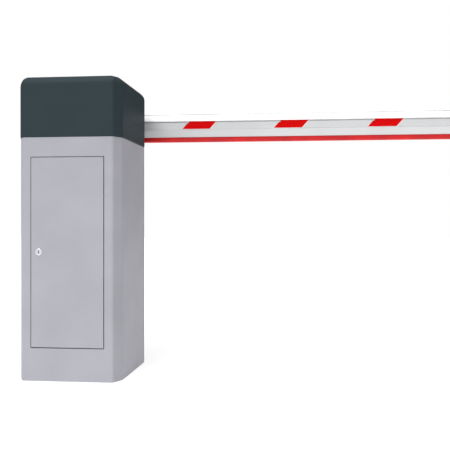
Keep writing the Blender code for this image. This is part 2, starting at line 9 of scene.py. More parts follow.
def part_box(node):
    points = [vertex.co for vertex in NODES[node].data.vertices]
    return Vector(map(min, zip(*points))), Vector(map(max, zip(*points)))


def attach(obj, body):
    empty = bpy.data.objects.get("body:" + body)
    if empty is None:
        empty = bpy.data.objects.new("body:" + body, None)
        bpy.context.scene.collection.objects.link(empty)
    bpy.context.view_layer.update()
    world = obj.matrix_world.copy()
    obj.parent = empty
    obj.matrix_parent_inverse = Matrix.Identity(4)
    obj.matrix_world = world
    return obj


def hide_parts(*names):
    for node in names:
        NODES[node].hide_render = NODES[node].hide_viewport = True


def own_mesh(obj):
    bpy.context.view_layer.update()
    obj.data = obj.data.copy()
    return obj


bl_info = {
    "name": "Parking Barrier Gate",
    "version": (1, 0, 0),
    "blender": (4, 5, 0),
    "location": "3D View > Sidebar > Barrier Gate",
    "description": "Models the sheet-metal cabinet, lever drive and faceted boom of a parking barrier",
    "category": "Add Mesh",
}

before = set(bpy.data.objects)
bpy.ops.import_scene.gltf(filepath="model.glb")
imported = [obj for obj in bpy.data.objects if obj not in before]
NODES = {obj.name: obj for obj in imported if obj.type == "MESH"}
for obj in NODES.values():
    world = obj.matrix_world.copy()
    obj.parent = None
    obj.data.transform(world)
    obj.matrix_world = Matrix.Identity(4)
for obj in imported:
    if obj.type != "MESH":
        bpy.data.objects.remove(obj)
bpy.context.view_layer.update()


def middle_of(low, high):
    return [(a + b) / 2 for a, b in zip(low, high)]


# ---- places read from the frame
SHELL_LOW, SHELL_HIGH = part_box("cabinet_shell")
REAR_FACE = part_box("rear_panel")[1].y
CAP_LOW, CAP_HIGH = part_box("cap")
DOOR_LOW, DOOR_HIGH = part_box("door_panel")
BARREL_LOW, BARREL_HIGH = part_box("lock_barrel")
CAM_LOW, CAM_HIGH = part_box("lock_cam")
SHAFT_LOW, SHAFT_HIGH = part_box("main_shaft")
BOOM_LOW, BOOM_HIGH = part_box("boom_extrusion")
EDGE_LOW, EDGE_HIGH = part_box("boom_rubber_edge")

SHAFT_X, SHAFT_Z = middle_of(SHAFT_LOW, SHAFT_HIGH)[::2]
SHAFT_R = (SHAFT_HIGH.x - SHAFT_LOW.x) / 2
BOOM_Y = middle_of(BOOM_LOW, BOOM_HIGH)[1]
BOOM_HALF = (BOOM_HIGH.y - BOOM_LOW.y) / 2
LOCK_X, LOCK_Z = middle_of(BARREL_LOW, BARREL_HIGH)[::2]

# The clearance between parts, and how far the head of a screw sinks into its seat
GAP, SUNK = 0.0003, 0.0002
UP, DOWN, BACK, FRONT = (0, 0, 1), (0, 0, -1), (0, 1, 0), (0, -1, 0)


def length_property(label, purpose, value):
    return bpy.props.FloatProperty(name=label, description=purpose, default=value, unit="LENGTH")


def colour_property(label, purpose, value):
    return bpy.props.StringProperty(name=label, description=purpose, default=value)


class GateSizes(bpy.types.PropertyGroup):
    """Sizes that the frame doesn't give: folds, corner radii and markings."""

    sheet: length_property("Sheet", "Thickness of the folded steel", 0.002)
    chamfer_across: length_property("Chamfer Across", "Front corner chamfer, along the front", 0.021)
    chamfer_deep: length_property("Chamfer Deep", "Front corner chamfer, along the side", 0.034)
    fold: length_property("Fold", "Length of the curve on each side of the cabinet's upright folds", 0.0058)
    cap_fold: length_property("Cap Fold", "Length of the curve on each side of the cap's folds", 0.0062)
    cap_round: length_property("Cap Round", "Radius of the cap's top edges", 0.030)
    door_gap: length_property("Door Gap", "Reveal around the service door", 0.003)
    spring_wire: length_property("Spring Wire", "Diameter of the springs' wire", 0.006)
    boom_wall: length_property("Boom Wall", "Wall of the boom extrusion", 0.002)
    marker_pitch: length_property("Marker Pitch", "Distance between reflective markers", 0.349)
    marker_start: length_property("Marker Start", "Middle of the first marker, from the shaft", 0.376)
    marker_width: length_property("Marker Width", "Length of a marker along the boom", 0.1053)
    marker_lean: length_property("Marker Lean", "How far a marker's top leans along the boom", 0.026)


class GateColours(bpy.types.PropertyGroup):
    """Finishes as sRGB hex colours."""

    cabinet: colour_property("Cabinet", "Powder coat of the cabinet and door", "B1B1B9")
    cap: colour_property("Cap", "Powder coat of the cap", "344044")
    boom: colour_property("Boom", "Coating of the boom", "DFE0E1")
    marker: colour_property("Marker", "Reflective film", "C40405")
    edge: colour_property("Edge", "Rubber edge under the boom", "D8191C")
    motor: colour_property("Motor", "Enamel on the motor and gearbox", "3E5568")
    zinc: colour_property("Zinc", "Zinc-plated sheet", "B9BDBE")
    steel: colour_property("Steel", "Machined steel", "A9A8A5")


def sizes():
    return bpy.context.scene.gate_sizes


def colours():
    return bpy.context.scene.gate_colours


# ---- materials
def linear(code):
    """An sRGB hex colour as the linear RGBA that sockets take."""
    channels = [int(code[i : i + 2], 16) / 255 for i in (0, 2, 4)]
    return [c / 12.92 if c <= 0.04045 else ((c + 0.055) / 1.055) ** 2.4 for c in channels] + [1.0]


def add_node(owner, kind, settings=None, links=None):
    """Adds a shader node, with its properties and socket values, and links from other nodes' outputs."""
    node = owner.node_tree.nodes.new(kind)
    for key, value in (settings or {}).items():
        if isinstance(key, str) and hasattr(node, key):
            setattr(node, key, value)
        else:
            node.inputs[key].default_value = value
    for key, output in (links or {}).items():
        owner.node_tree.links.new(output, node.inputs[key])
    return node


def surface(name, colour, roughness, metallic=0.0, **sockets):
    """A material of one principled shader, and that shader."""
    made = bpy.data.materials.new(name)
    made.use_nodes = True
    shader = made.node_tree.nodes["Principled BSDF"]
    shader.inputs["Base Color"].default_value = linear(colour)
    shader.inputs["Roughness"].default_value = roughness
    shader.inputs["Metallic"].default_value = metallic
    for key, value in sockets.items():
        shader.inputs[key.replace("_", " ")].default_value = value
    return made, shader


def texture(material, kind, scale, settings=None, stretch=(1, 1, 1)):
    """A pattern on the object's own coordinates; scale is cells per metre."""
    place = add_node(material, "ShaderNodeTexCoord")
    grid = add_node(material, "ShaderNodeMapping", {"Scale": stretch}, {"Vector": place.outputs["Object"]})
    return add_node(material, kind, {"Scale": scale, **(settings or {})}, {"Vector": grid.outputs["Vector"]})


def tint(material, shader, fac, low, high, start=0.35, end=0.65):
    """Base colour between two hex colours, by a pattern's value."""
    ramp = add_node(material, "ShaderNodeValToRGB", None, {"Fac": fac})
    ramp.color_ramp.elements[0].position = start
    ramp.color_ramp.elements[1].position = end
    ramp.color_ramp.elements[0].color = linear(low)
    ramp.color_ramp.elements[1].color = linear(high)
    material.node_tree.links.new(ramp.outputs["Color"], shader.inputs["Base Color"])


def gloss(material, shader, fac, low, high):
    """Roughness between two values, by a pattern's value."""
    spread = add_node(material, "ShaderNodeMapRange", {"To Min": low, "To Max": high}, {"Value": fac})
    material.node_tree.links.new(spread.outputs["Result"], shader.inputs["Roughness"])


def relief(material, shader, height, depth, strength):
    """Bump from a pattern; depth is in metres."""
    bump = add_node(material, "ShaderNodeBump", {"Strength": strength, "Distance": depth}, {"Height": height})
    material.node_tree.links.new(bump.outputs["Normal"], shader.inputs["Normal"])


def shade(code, factor):
    """A hex colour made darker or lighter."""
    return "".join(f"{min(255, round(int(code[i : i + 2], 16) * factor)):02X}" for i in (0, 2, 4))


def clouded(made, shader, colour, scale, detail, dark, light, start=0.35, end=0.65):
    """Slow changes of tone, between two factors of the colour; gives back the pattern's value."""
    cloud = texture(made, "ShaderNodeTexNoise", scale, {"Detail": detail}).outputs["Fac"]
    tint(made, shader, cloud, shade(colour, dark), shade(colour, light), start, end)
    return cloud


def grained(made, shader, scale, detail, depth, strength):
    """A fine raised grain."""
    grain = texture(made, "ShaderNodeTexNoise", scale, {"Detail": detail})
    relief(made, shader, grain.outputs["Fac"], depth, strength)


def powder_coat(name, colour, roughness=0.42, specular=0.15):
    """Polyester powder coat on steel sheet: even colour, a soft sheen and orange peel.

    Real orange peel is about 2 mm across; it is drawn at 5 mm so that it shows at all.
    """
    made, shader = surface(name, colour, roughness, 0.0, Specular_IOR_Level=specular)
    cloud = clouded(made, shader, colour, 6.0, 3.0, 0.985, 1.015)
    gloss(made, shader, cloud, roughness - 0.04, roughness + 0.04)
    grained(made, shader, 200.0, 2.0, 0.0002, 0.35)
    return made


def coated_aluminium(name, colour):
    """Extruded aluminium with a satin silver-white coat; die lines about 1 mm apart run along the boom."""
    made, shader = surface(name, colour, 0.36, 0.15)
    clouded(made, shader, colour, 5.0, 2.0, 0.985, 1.01)
    lines = texture(made, "ShaderNodeTexNoise", 900.0, {"Detail": 2.0}, (0.004, 1, 1))
    gloss(made, shader, lines.outputs["Fac"], 0.30, 0.42)
    relief(made, shader, lines.outputs["Fac"], 0.00008, 0.3)
    return made


def reflective_film(name, colour):
    """Prismatic road film: a clear glossy face over 4 mm honeycomb cells with paler walls."""
    made, shader = surface(name, colour, 0.5, 0.0, Specular_IOR_Level=0.06)
    kind = {"feature": "DISTANCE_TO_EDGE", "Randomness": 0.15}
    cells = texture(made, "ShaderNodeTexVoronoi", 250.0, kind).outputs["Distance"]
    tint(made, shader, cells, shade(colour, 1.12), colour, 0.02, 0.10)
    relief(made, shader, cells, 0.0001, 0.25)
    return made


def moulded_rubber(name, colour, roughness=0.62):
    """Extruded rubber: matt, with a faint bloom and a fine grain of about 1 mm."""
    made, shader = surface(name, colour, roughness)
    clouded(made, shader, colour, 14.0, 4.0, 0.93, 1.06)
    grained(made, shader, 900.0, 1.0, 0.0001, 0.3)
    return made


def zinc_plate(name, colour):
    """Galvanised sheet: metal with crystals of spangle 12 mm across, each a little lighter or darker."""
    made, shader = surface(name, colour, 0.42, 0.85)
    spangle = texture(made, "ShaderNodeTexVoronoi", 85.0, {"feature": "F1"})
    tone = add_node(made, "ShaderNodeSeparateColor", None, {"Color": spangle.outputs["Color"]})
    tint(made, shader, tone.outputs["Red"], shade(colour, 0.88), shade(colour, 1.08), 0.0, 1.0)
    gloss(made, shader, tone.outputs["Green"], 0.32, 0.5)
    return made


def machined_steel(name, colour, roughness=0.3):
    """Turned and milled steel with a light oil film: fine tool marks and slight staining."""
    made, shader = surface(name, colour, roughness, 1.0)
    clouded(made, shader, colour, 40.0, 5.0, 0.82, 1.06, 0.3, 0.6)
    marks = texture(made, "ShaderNodeTexNoise", 700.0, {"Detail": 3.0}, (1, 0.05, 1))
    gloss(made, shader, marks.outputs["Fac"], roughness - 0.08, roughness + 0.12)
    relief(made, shader, marks.outputs["Fac"], 0.00005, 0.3)
    return made


def satin_chrome(name, colour):
    """Satin nickel-chrome: pale metal that scatters most of the light, with faint wiping marks."""
    made, shader = surface(name, colour, 0.4, 0.4)
    wipe = texture(made, "ShaderNodeTexNoise", 300.0, {"Detail": 3.0})
    gloss(made, shader, wipe.outputs["Fac"], 0.34, 0.46)
    return made


def cast_enamel(name, colour):
    """Enamel over a sand casting: a 2 mm grain shows through the paint."""
    made, shader = surface(name, colour, 0.45, 0.0, Coat_Weight=0.15, Coat_Roughness=0.3)
    clouded(made, shader, colour, 25.0, 4.0, 0.9, 1.08)
    grained(made, shader, 420.0, 4.0, 0.0004, 0.5)
    return made


def moulded_plastic(name, colour, roughness):
    """Injection-moulded plastic with a fine spark-eroded texture of about 1 mm."""
    made, shader = surface(name, colour, roughness)
    clouded(made, shader, colour, 20.0, 2.0, 0.97, 1.03)
    grained(made, shader, 1000.0, 1.0, 0.0001, 0.4)
    return made


FINISHES = {}


def make_finishes():
    """Each finish as its material and the name of its slot."""
    chosen = colours()
    enamel = cast_enamel("motor_enamel", chosen.motor)
    FINISHES.update(
        cabinet=(powder_coat("cabinet_powder_coat", chosen.cabinet), "grey_paint"),
        cap=(powder_coat("cap_powder_coat", chosen.cap, 0.5, 0.07), "dark_paint"),
        boom=(coated_aluminium("boom_coated_aluminium", chosen.boom), "aluminium"),
        marker=(reflective_film("marker_film", chosen.marker), "red_rubber"),
        marker_rim=(reflective_film("marker_rim_film", "F2EDEC"), "aluminium"),
        edge=(moulded_rubber("edge_red_rubber", chosen.edge, 0.5), "red_rubber"),
        rubber=(moulded_rubber("black_moulded_rubber", "1C1C1D"), "black_rubber"),
        seal=(moulded_rubber("grey_edge_seal", "8E8E94"), "black_rubber"),
        zinc=(zinc_plate("galvanised_sheet", chosen.zinc), "galvanised"),
        steel=(machined_steel("machined_steel", chosen.steel), "steel"),
        bolt=(machined_steel("zinc_plated_fastener", "C4C5C0", 0.28), "steel"),
        spring=(machined_steel("phosphated_spring_wire", "4C4B4A", 0.4), "spring_steel"),
        chrome=(satin_chrome("chrome_plate", "E6E7EA"), "steel"),
        casting=(cast_enamel("casting_enamel", "39464F"), "cast_iron"),
        gearbox=(enamel, "cast_iron"),
        motor=(enamel, "motor_paint"),
        black=(moulded_plastic("black_nylon", "1E1F20", 0.48), "black_plastic"),
        pale=(moulded_plastic("pale_abs", "C9CBC8", 0.45), "pale_plastic"),
        brass=(machined_steel("nickel_brass", "B79A5B"), "steel"),
        aluminium=(machined_steel("turned_aluminium", "C6C8C9", 0.35), "aluminium"),
    )


# ---- modelling
def focus(piece=None):
    """Leaves edit mode and selects only this piece, or nothing."""
    if bpy.context.object and bpy.context.object.mode != "OBJECT":
        bpy.ops.object.mode_set(mode="OBJECT")
    bpy.ops.object.select_all(action="DESELECT")
    if piece:
        piece.select_set(True)
        bpy.context.view_layer.objects.active = piece


def edit_all(piece):
    """Goes into edit mode with everything selected."""
    focus(piece)
    bpy.ops.object.mode_set(mode="EDIT")
    bpy.ops.mesh.select_all(action="SELECT")


def settle(name):
    """Names the new active object and moves its place into its mesh."""
    piece = bpy.context.object
    piece.name = name
    piece.data.name = name
    bpy.ops.object.transform_apply(location=True, rotation=True, scale=True)
    return piece


def block(name, low, high):
    low, high = Vector(low), Vector(high)
    focus()
    bpy.ops.mesh.primitive_cube_add(size=1, location=(low + high) / 2)
    bpy.context.object.scale = high - low
    return settle(name)


def round_bar(name, radius, start, end, sides=48):
    """A cylinder between two points."""
    start, end = Vector(start), Vector(end)
    along = end - start
    focus()
    bpy.ops.mesh.primitive_cylinder_add(
        vertices=sides,
        radius=radius,
        depth=along.length,
        location=(start + end) / 2,
        rotation=along.to_track_quat("Z", "Y").to_euler(),
    )
    return settle(name)


def fix_normals(piece):
    edit_all(piece)
    bpy.ops.mesh.remove_doubles(threshold=0.000001)
    bpy.ops.mesh.normals_make_consistent(inside=False)
    bpy.ops.object.mode_set(mode="OBJECT")
    return piece


AXES = {"X": (1, 2, 0), "Y": (0, 2, 1), "Z": (0, 1, 2)}


def section(name, points, low, high, axis="Z"):
    """A flat outline run along an axis: a circle's points are moved to the outline and extruded."""
    first, second, along = AXES[axis]
    focus()
    bpy.ops.mesh.primitive_circle_add(vertices=len(points), fill_type="NGON")
    piece = settle(name)
    for vertex, (u, v) in zip(piece.data.vertices, points):
        vertex.co[first], vertex.co[second], vertex.co[along] = u, v, low
    run = [0.0, 0.0, 0.0]
    run[along] = high - low
    edit_all(piece)
    bpy.ops.mesh.extrude_region_move(TRANSFORM_OT_translate={"value": run})
    return fix_normals(piece)


def turned(name, profile, start, direction, steps=48):
    """A closed profile of (radius, height) points, spun about its axis and stood at start along direction."""
    focus()
    bpy.ops.mesh.primitive_circle_add(vertices=len(profile), fill_type="NOTHING")
    piece = settle(name)
    for vertex, (radius, height) in zip(piece.data.vertices, profile):
        vertex.co = (radius, 0, height)
    edit_all(piece)
    bpy.ops.mesh.spin(steps=steps, angle=2 * math.pi, center=(0, 0, 0), axis=(0, 0, 1), use_auto_merge=True)
    bpy.ops.mesh.select_all(action="SELECT")
    bpy.ops.mesh.remove_doubles(threshold=0.000001)
    bpy.ops.mesh.delete_loose(use_verts=True, use_edges=True, use_faces=False)
    fix_normals(piece)
    turn = Vector(direction).to_track_quat("Z", "Y").to_matrix().to_4x4()
    piece.data.transform(Matrix.Translation(start) @ turn)
    return piece


def apply_modifier(piece, kind, **settings):
    step = piece.modifiers.new(kind.lower(), kind)
    for key, value in settings.items():
        setattr(step, key, value)
    focus(piece)
    bpy.ops.object.modifier_apply(modifier=step.name)
    return piece


def carve(piece, tool, operation="DIFFERENCE"):
    apply_modifier(piece, "BOOLEAN", operation=operation, object=tool)
    bpy.data.objects.remove(tool, do_unlink=True)
    return piece


def weld(piece, part):
    return carve(piece, part, "UNION")


def smooth_faces(piece, angle=35):
    """Shades smooth up to an angle, and lets the large flat faces keep their own direction."""
    focus(piece)
    bpy.ops.object.shade_smooth_by_angle(angle=math.radians(angle))
    return apply_modifier(piece, "WEIGHTED_NORMAL", keep_sharp=True, weight=60)


def soften(piece, width, segments=2, angle=30, smooth=35):
    """Breaks the edges sharper than an angle and shades the piece smooth between them."""
    settings = {"limit_method": "ANGLE", "angle_limit": math.radians(angle), "harden_normals": False}
    apply_modifier(piece, "BEVEL", width=width, segments=segments, use_clamp_overlap=True, **settings)
    return smooth_faces(piece, smooth)


def select_where(piece, kind, test):
    """Goes into edit mode with the edges or faces selected that pass the test.

    The test is given an edge's middle and direction, or a face's middle and normal.
    """
    focus(piece)
    bpy.ops.object.mode_set(mode="EDIT")
    bpy.ops.mesh.select_mode(type=kind)
    bpy.ops.mesh.select_all(action="DESELECT")
    bpy.ops.object.mode_set(mode="OBJECT")
    if kind == "FACE":
        for face in piece.data.polygons:
            face.select = bool(test(face.center, face.normal))
    else:
        points = piece.data.vertices
        for edge in piece.data.edges:
            a, b = (points[i].co for i in edge.vertices)
            edge.select = bool(test((a + b) / 2, (b - a).normalized()))
    bpy.ops.object.mode_set(mode="EDIT")


def is_upright(middle, direction):
    return abs(direction.z) > 0.99


def runs_back(middle, direction):
    return abs(direction.y) > 0.99


def round_edges(piece, test, radius, segments):
    select_where(piece, "EDGE", test)
    bpy.ops.mesh.bevel(offset=radius, segments=segments, affect="EDGES")
    bpy.ops.object.mode_set(mode="OBJECT")


def fold_sheet(piece, is_open):
    """Makes a solid into folded sheet, open at the faces that pass the test."""
    select_where(piece, "FACE", is_open)
    bpy.ops.mesh.delete(type="FACE")
    bpy.ops.object.mode_set(mode="OBJECT")
    apply_modifier(piece, "SOLIDIFY", thickness=sizes().sheet, offset=-1, use_even_offset=True)


def put_in(name, data):
    """A new object in the scene."""
    made = bpy.data.objects.new(name, data)
    bpy.context.scene.collection.objects.link(made)
    return made


def copy_of(piece, name, move):
    twin = put_in(name, piece.data.copy())
    twin.data.name = name
    twin.data.transform(Matrix.Translation(move))
    return twin


def deliver(piece, body, finish, *nodes):
    """Gives a piece its finish and its body, and hides the parts of the frame it stands for."""
    material, slot = FINISHES[finish]
    piece.data.materials.clear()
    piece.data.materials.append(material)
    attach(piece, body)
    if nodes:
        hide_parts(*nodes)


def softened_node(node, name, body, finish, width, segments=2):
    """A machined or folded part as the frame has it, with its flat faces merged and its edges broken."""
    piece = fix_normals(put_in(name, NODES[node].data.copy()))
    edit_all(piece)
    bpy.ops.mesh.dissolve_limited(angle_limit=math.radians(0.5))
    bpy.ops.object.mode_set(mode="OBJECT")
    deliver(soften(piece, width, segments), body, finish, node)


def turned_part(name, profile, start, direction, steps, body, finish, *nodes):
    """A turned piece with no further work on it."""
    deliver(smooth_faces(turned(name, profile, start, direction, steps)), body, finish, *nodes)


def arc(x, y, radius, start, end, steps):
    """Points on an arc, from one angle in degrees to another."""
    turns = [math.radians(start + (end - start) * i / steps) for i in range(steps + 1)]
    return [(x + radius * math.cos(turn), y + radius * math.sin(turn)) for turn in turns]


def ring_profile(inside, outside, foot, crown, bevel):
    """A ring's section, with both outer corners bevelled."""
    return [
        (inside, foot), (outside - bevel, foot), (outside, foot + bevel),
        (outside, crown - bevel), (outside - bevel, crown), (inside, crown),
    ]


def thread_profile(radius, low, high, pitch):
    """A threaded rod's profile: rings of ridges instead of a helix, which look the same at this size."""
    points = [(0.0, low), (radius * 0.85, low)]
    for i in range(int((high - low) / pitch) - 1):
        base = low + pitch * (i + 0.5)
        points += [(radius * 0.88, base), (radius, base + pitch * 0.5)]
    return points + [(radius * 0.85, high), (0.0, high)]


# ---- fasteners
def hexagon(name, corner, start, direction, height, both=True):
    """A six-sided nut or head with a 30 degree chamfer at the far end, or at both."""
    direction = Vector(direction).normalized()
    piece = round_bar(name, corner, start, Vector(start) + direction * height, 6)
    flat, drop, outside = corner * 0.86, corner * 0.09, corner * 1.02
    foot = [(0.0, 0.0), (flat, 0.0), (outside, drop)] if both else [(0.0, -0.0001), (outside, -0.0001)]
    profile = foot + [(outside, height - drop), (flat, height), (0.0, height)]
    return carve(piece, turned("chamfer", profile, start, direction, 36), "INTERSECT")


def hex_bolt(name, radius, seat, direction):
    """A bolt's head on its seat: a chamfered hexagon with a washer under it."""
    seat, direction = Vector(seat), Vector(direction).normalized()
    base = seat + direction * 0.0015
    bolt = hexagon(name, radius * 1.9, base, direction, radius * 1.3, both=False)
    weld(bolt, round_bar("washer", radius * 2.1, seat, base + direction * 0.0001, 40))
    return soften(bolt, 0.0002, 1, 25)


def button_screw(name, radius, seat, direction):
    """A domed screw head with a hexagon socket."""
    head = radius * 0.55
    dome = [(radius * math.sin(math.radians(a)), head * math.cos(math.radians(a))) for a in (20, 40, 60, 80)]
    screw = turned(name, [(0.0, head), *dome, (radius, 0.0), (0.0, 0.0)], seat, direction, 32)
    seat, direction = Vector(seat), Vector(direction)
    socket = round_bar("socket", radius * 0.5, seat + direction * head * 0.45, seat + direction * head * 2, 6)
    return soften(carve(screw, socket), 0.0001, 1)


def fastener_row(make, name, radius, seats, direction, finish="bolt"):
    """One bolt or screw on the cabinet, and copies of it at the other seats."""
    first = make(f"{name}_1", radius, seats[0], direction)
    start = Vector(seats[0])
    others = enumerate(seats[1:], 2)
    for piece in [first] + [copy_of(first, f"{name}_{i}", Vector(seat) - start) for i, seat in others]:
        deliver(piece, "cabinet", finish)


def lid_seats(low, high, inset, y):
    """Four places on the front of a lid, one near each corner."""
    return [(x, y, z) for x in (low.x + inset, high.x - inset) for z in (low.z + inset, high.z - inset)]


# ---- cabinet
def cabinet_plan(grow, back):
    """The cabinet's plan; only the front corners are chamfered."""
    across, deep = sizes().chamfer_across, sizes().chamfer_deep
    slope = math.hypot(across, deep)
    wide, front = SHELL_HIGH.x + grow, SHELL_LOW.y - grow
    turn_x = SHELL_HIGH.x - across + grow * (slope - across) / deep
    turn_y = SHELL_LOW.y + deep - grow * (slope - deep) / across
    return [(wide, back), (-wide, back), (-wide, turn_y), (-turn_x, front), (turn_x, front), (wide, turn_y)]


class GATE_OT_cabinet(bpy.types.Operator):
    """Folded cabinet wrap, rear panel and base"""

    bl_idname = "gate.cabinet"
    bl_label = "Cabinet"

    def execute(self, context):
        make_wrap()
        softened_node("rear_panel", "rear_cover", "cabinet", "cabinet", 0.0004)
        edge = SHELL_HIGH.x - 0.012
        seats = [(x, REAR_FACE - SUNK, z) for z in (0.06, 0.30, 0.54, 0.78) for x in (-edge, edge)]
        fastener_row(button_screw, "rear_screw", 0.0045, seats, BACK)
        softened_node("base_plate", "foot_plate", "cabinet", "zinc", 0.0005)
        for number in range(1, 5):
            make_anchor(f"anchor_bolt_{number}")
        softened_node("cable_gland", "cable_entry", "cabinet", "black", 0.0008)
        return {"FINISHED"}


def make_wrap():
    """The cabinet's sheet: folded at the front corners, flanged at the back, with a lipped doorway."""
    sheet, gap, front, back = sizes().sheet, sizes().door_gap, SHELL_LOW.y, SHELL_HIGH.y
    wrap = section("cabinet_wrap", cabinet_plan(0, back), SHELL_LOW.z, SHELL_HIGH.z)
    round_edges(wrap, is_upright, sizes().fold, 5)
    fold_sheet(wrap, lambda middle, normal: abs(normal.z) > 0.9)
    flange = SHELL_HIGH.x - 0.025
    carve(wrap, block("rear_window", (-flange, back - 0.012, -1), (flange, back + 0.01, 2)))
    low = (DOOR_LOW.x - gap, front - 0.01, DOOR_LOW.z - gap)
    high = (DOOR_HIGH.x + gap, front + 0.01, DOOR_HIGH.z + gap)
    doorway = block("doorway", low, high)
    round_edges(doorway, runs_back, 0.003, 4)
    carve(wrap, doorway)
    for x in (low[0] - sheet, high[0]):
        weld(wrap, block("lip", (x, front + 0.001, low[2]), (x + sheet, front + 0.0075, high[2])))
    make_doorway_seal(low, high)
    deliver(soften(wrap, 0.0004), "cabinet", "cabinet", "cabinet_shell")


def make_doorway_seal(low, high):
    """Grey edge seals pushed onto three sides of the doorway; the hinge side has none."""
    face, end_x = SHELL_LOW.y, high[0] - 0.004
    strips = (
        ("left", (low[0], face + 0.0016, low[2]), (DOOR_LOW.x - GAP, face + 0.0070, high[2])),
        ("top", (low[0], face + 0.0018, DOOR_HIGH.z + GAP), (end_x, face + 0.0070, high[2])),
        ("foot", (low[0], face + 0.0045, low[2]), (end_x, face + 0.0085, DOOR_LOW.z - GAP)),
    )
    for name, start, end in strips:
        deliver(soften(block(f"opening_seal_{name}", start, end), 0.0008, 3), "cabinet", "seal")


def make_anchor(node):
    """A threaded stud with its washer and nut on the base plate."""
    low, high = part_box(node)
    x, y = middle_of(low, high)[:2]
    stud = turned(f"{node}_stud", thread_profile(0.006, low.z, high.z, 0.00175), (x, y, 0), UP, 24)
    weld(stud, round_bar("washer", 0.013, (x, y, 0.0063), (x, y, 0.0088), 40))
    weld(stud, round_bar("nut", 0.0105, (x, y, 0.0086), (x, y, 0.019), 6))
    deliver(soften(stud, 0.0003, 1, 40), "cabinet", "bolt", node)


# ---- cap
class GATE_OT_cap(bpy.types.Operator):
    """Lift-off cap with rounded top edges"""

    bl_idname = "gate.cap"
    bl_label = "Cap"

    def execute(self, context):
        grow, back, top = CAP_HIGH.x - SHELL_HIGH.x, CAP_HIGH.y, CAP_HIGH.z - 0.0001
        cap = section("cap_cover_sheet", cabinet_plan(grow, back), CAP_LOW.z, CAP_HIGH.z)
        round_edges(cap, lambda middle, direction: middle.z > top, sizes().cap_round, 10)
        limit = {"limit_method": "ANGLE", "angle_limit": math.radians(22)}
        apply_modifier(cap, "BEVEL", width=sizes().cap_fold, segments=5, **limit)
        fold_sheet(cap, lambda middle, normal: normal.z < -0.9)
        weld(cap, make_ledge(grow - 0.001, back - 0.001))
        slot, inside, outside = SHAFT_R + 0.005, 0.13, 0.16
        carve(cap, block("slot", (-slot, inside, 0.79), (slot, outside, SHAFT_Z)))
        carve(cap, round_bar("slot_end", slot, (SHAFT_X, inside, SHAFT_Z), (SHAFT_X, outside, SHAFT_Z)))
        deliver(soften(cap, 0.0004, 2, 40, 30), "cap_cover", "cap", "cap")
        return {"FINISHED"}


def make_ledge(grow, back):
    """The rim inside the cap that sits on the cabinet, open at the back for the shaft."""
    ledge = section("ledge", cabinet_plan(grow, back), 0.8303, 0.8323)
    wide, deep, shaft_gap, below = 0.163, 0.133, 0.048, 0.82
    carve(ledge, block("ledge_hole", (-wide, -deep, below), (wide, deep, 0.85)))
    return carve(ledge, block("ledge_gap", (-shaft_gap, 0.12, below), (shaft_gap, 0.1455, 0.84)))


# ---- door and lock
class GATE_OT_door(bpy.types.Operator):
    """Service door, its seal, hinge brackets and lock"""

    bl_idname = "gate.door"
    bl_label = "Door"

    def execute(self, context):
        make_leaf()
        back = DOOR_LOW.y + sizes().sheet + 0.0001
        make_stiffener(back)
        make_door_seal(back)
        for end in ("upper", "lower"):
            softened_node(f"hinge_bracket_{end}", f"pivot_bracket_{end}", "cabinet", "zinc", 0.0006)
        make_lock()
        return {"FINISHED"}


def make_leaf():
    """The door's folded sheet, with the lock's hole and a hinge knuckle at each end."""
    sheet, front, wide = sizes().sheet, DOOR_LOW.y, -DOOR_LOW.x
    leaf = block("door_leaf", (-wide, front, DOOR_LOW.z), (wide, DOOR_HIGH.y, DOOR_HIGH.z))
    round_edges(leaf, runs_back, 0.0022, 4)
    round_edges(leaf, lambda middle, direction: middle.y < front + 0.0001, 0.0009, 3)
    fold_sheet(leaf, lambda middle, normal: normal.y > 0.9)
    carve(leaf, block("lock_side", (-0.2, front + sheet, 0), (-wide + 0.018, 0, 1)))
    carve(leaf, round_bar("lock_hole", 0.0100, (LOCK_X, -0.16, LOCK_Z), (LOCK_X, -0.12, LOCK_Z)))
    x, y, tall = 0.119, -0.1405, 0.020
    for low in (DOOR_LOW.z, DOOR_HIGH.z - tall):
        weld(leaf, round_bar("knuckle", 0.0036, (x, y, low), (x, y, low + tall), 24))
        carve(leaf, round_bar("bore", 0.0023, (x, y, low - 0.01), (x, y, low + 0.03), 24))
    deliver(soften(leaf, 0.0003, 1, 40), "door", "cabinet", "door_panel")


def make_stiffener(back):
    """A pressed hat section down the inside of the door."""
    middle, margin = -0.010, 0.05
    hat = [(-0.030, 0), (-0.014, 0), (-0.010, 0.010), (0.010, 0.010), (0.014, 0), (0.030, 0)]
    hat += [(x * 0.97, y + 0.0015) for x, y in reversed(hat)]
    outline = [(x + middle, back + y) for x, y in hat]
    stiffener = section("door_stiffener", outline, DOOR_LOW.z + margin, DOOR_HIGH.z - margin)
    deliver(soften(stiffener, 0.0004, 1), "door", "cabinet")


def make_door_seal(back):
    """A rubber frame stuck to the inside of the door."""
    left, right, margin, strip, thick = -0.108, 0.112, 0.006, 0.008, 0.006
    foot, crown = DOOR_LOW.z + margin, DOOR_HIGH.z - margin
    seal = block("door_seal", (left, back, foot), (right, back + thick, crown))
    carve(seal, block("seal_hole", (left + strip, -0.2, foot + strip), (right - strip, 0.0, crown - strip)))
    deliver(soften(seal, 0.0015, 3), "door", "rubber")


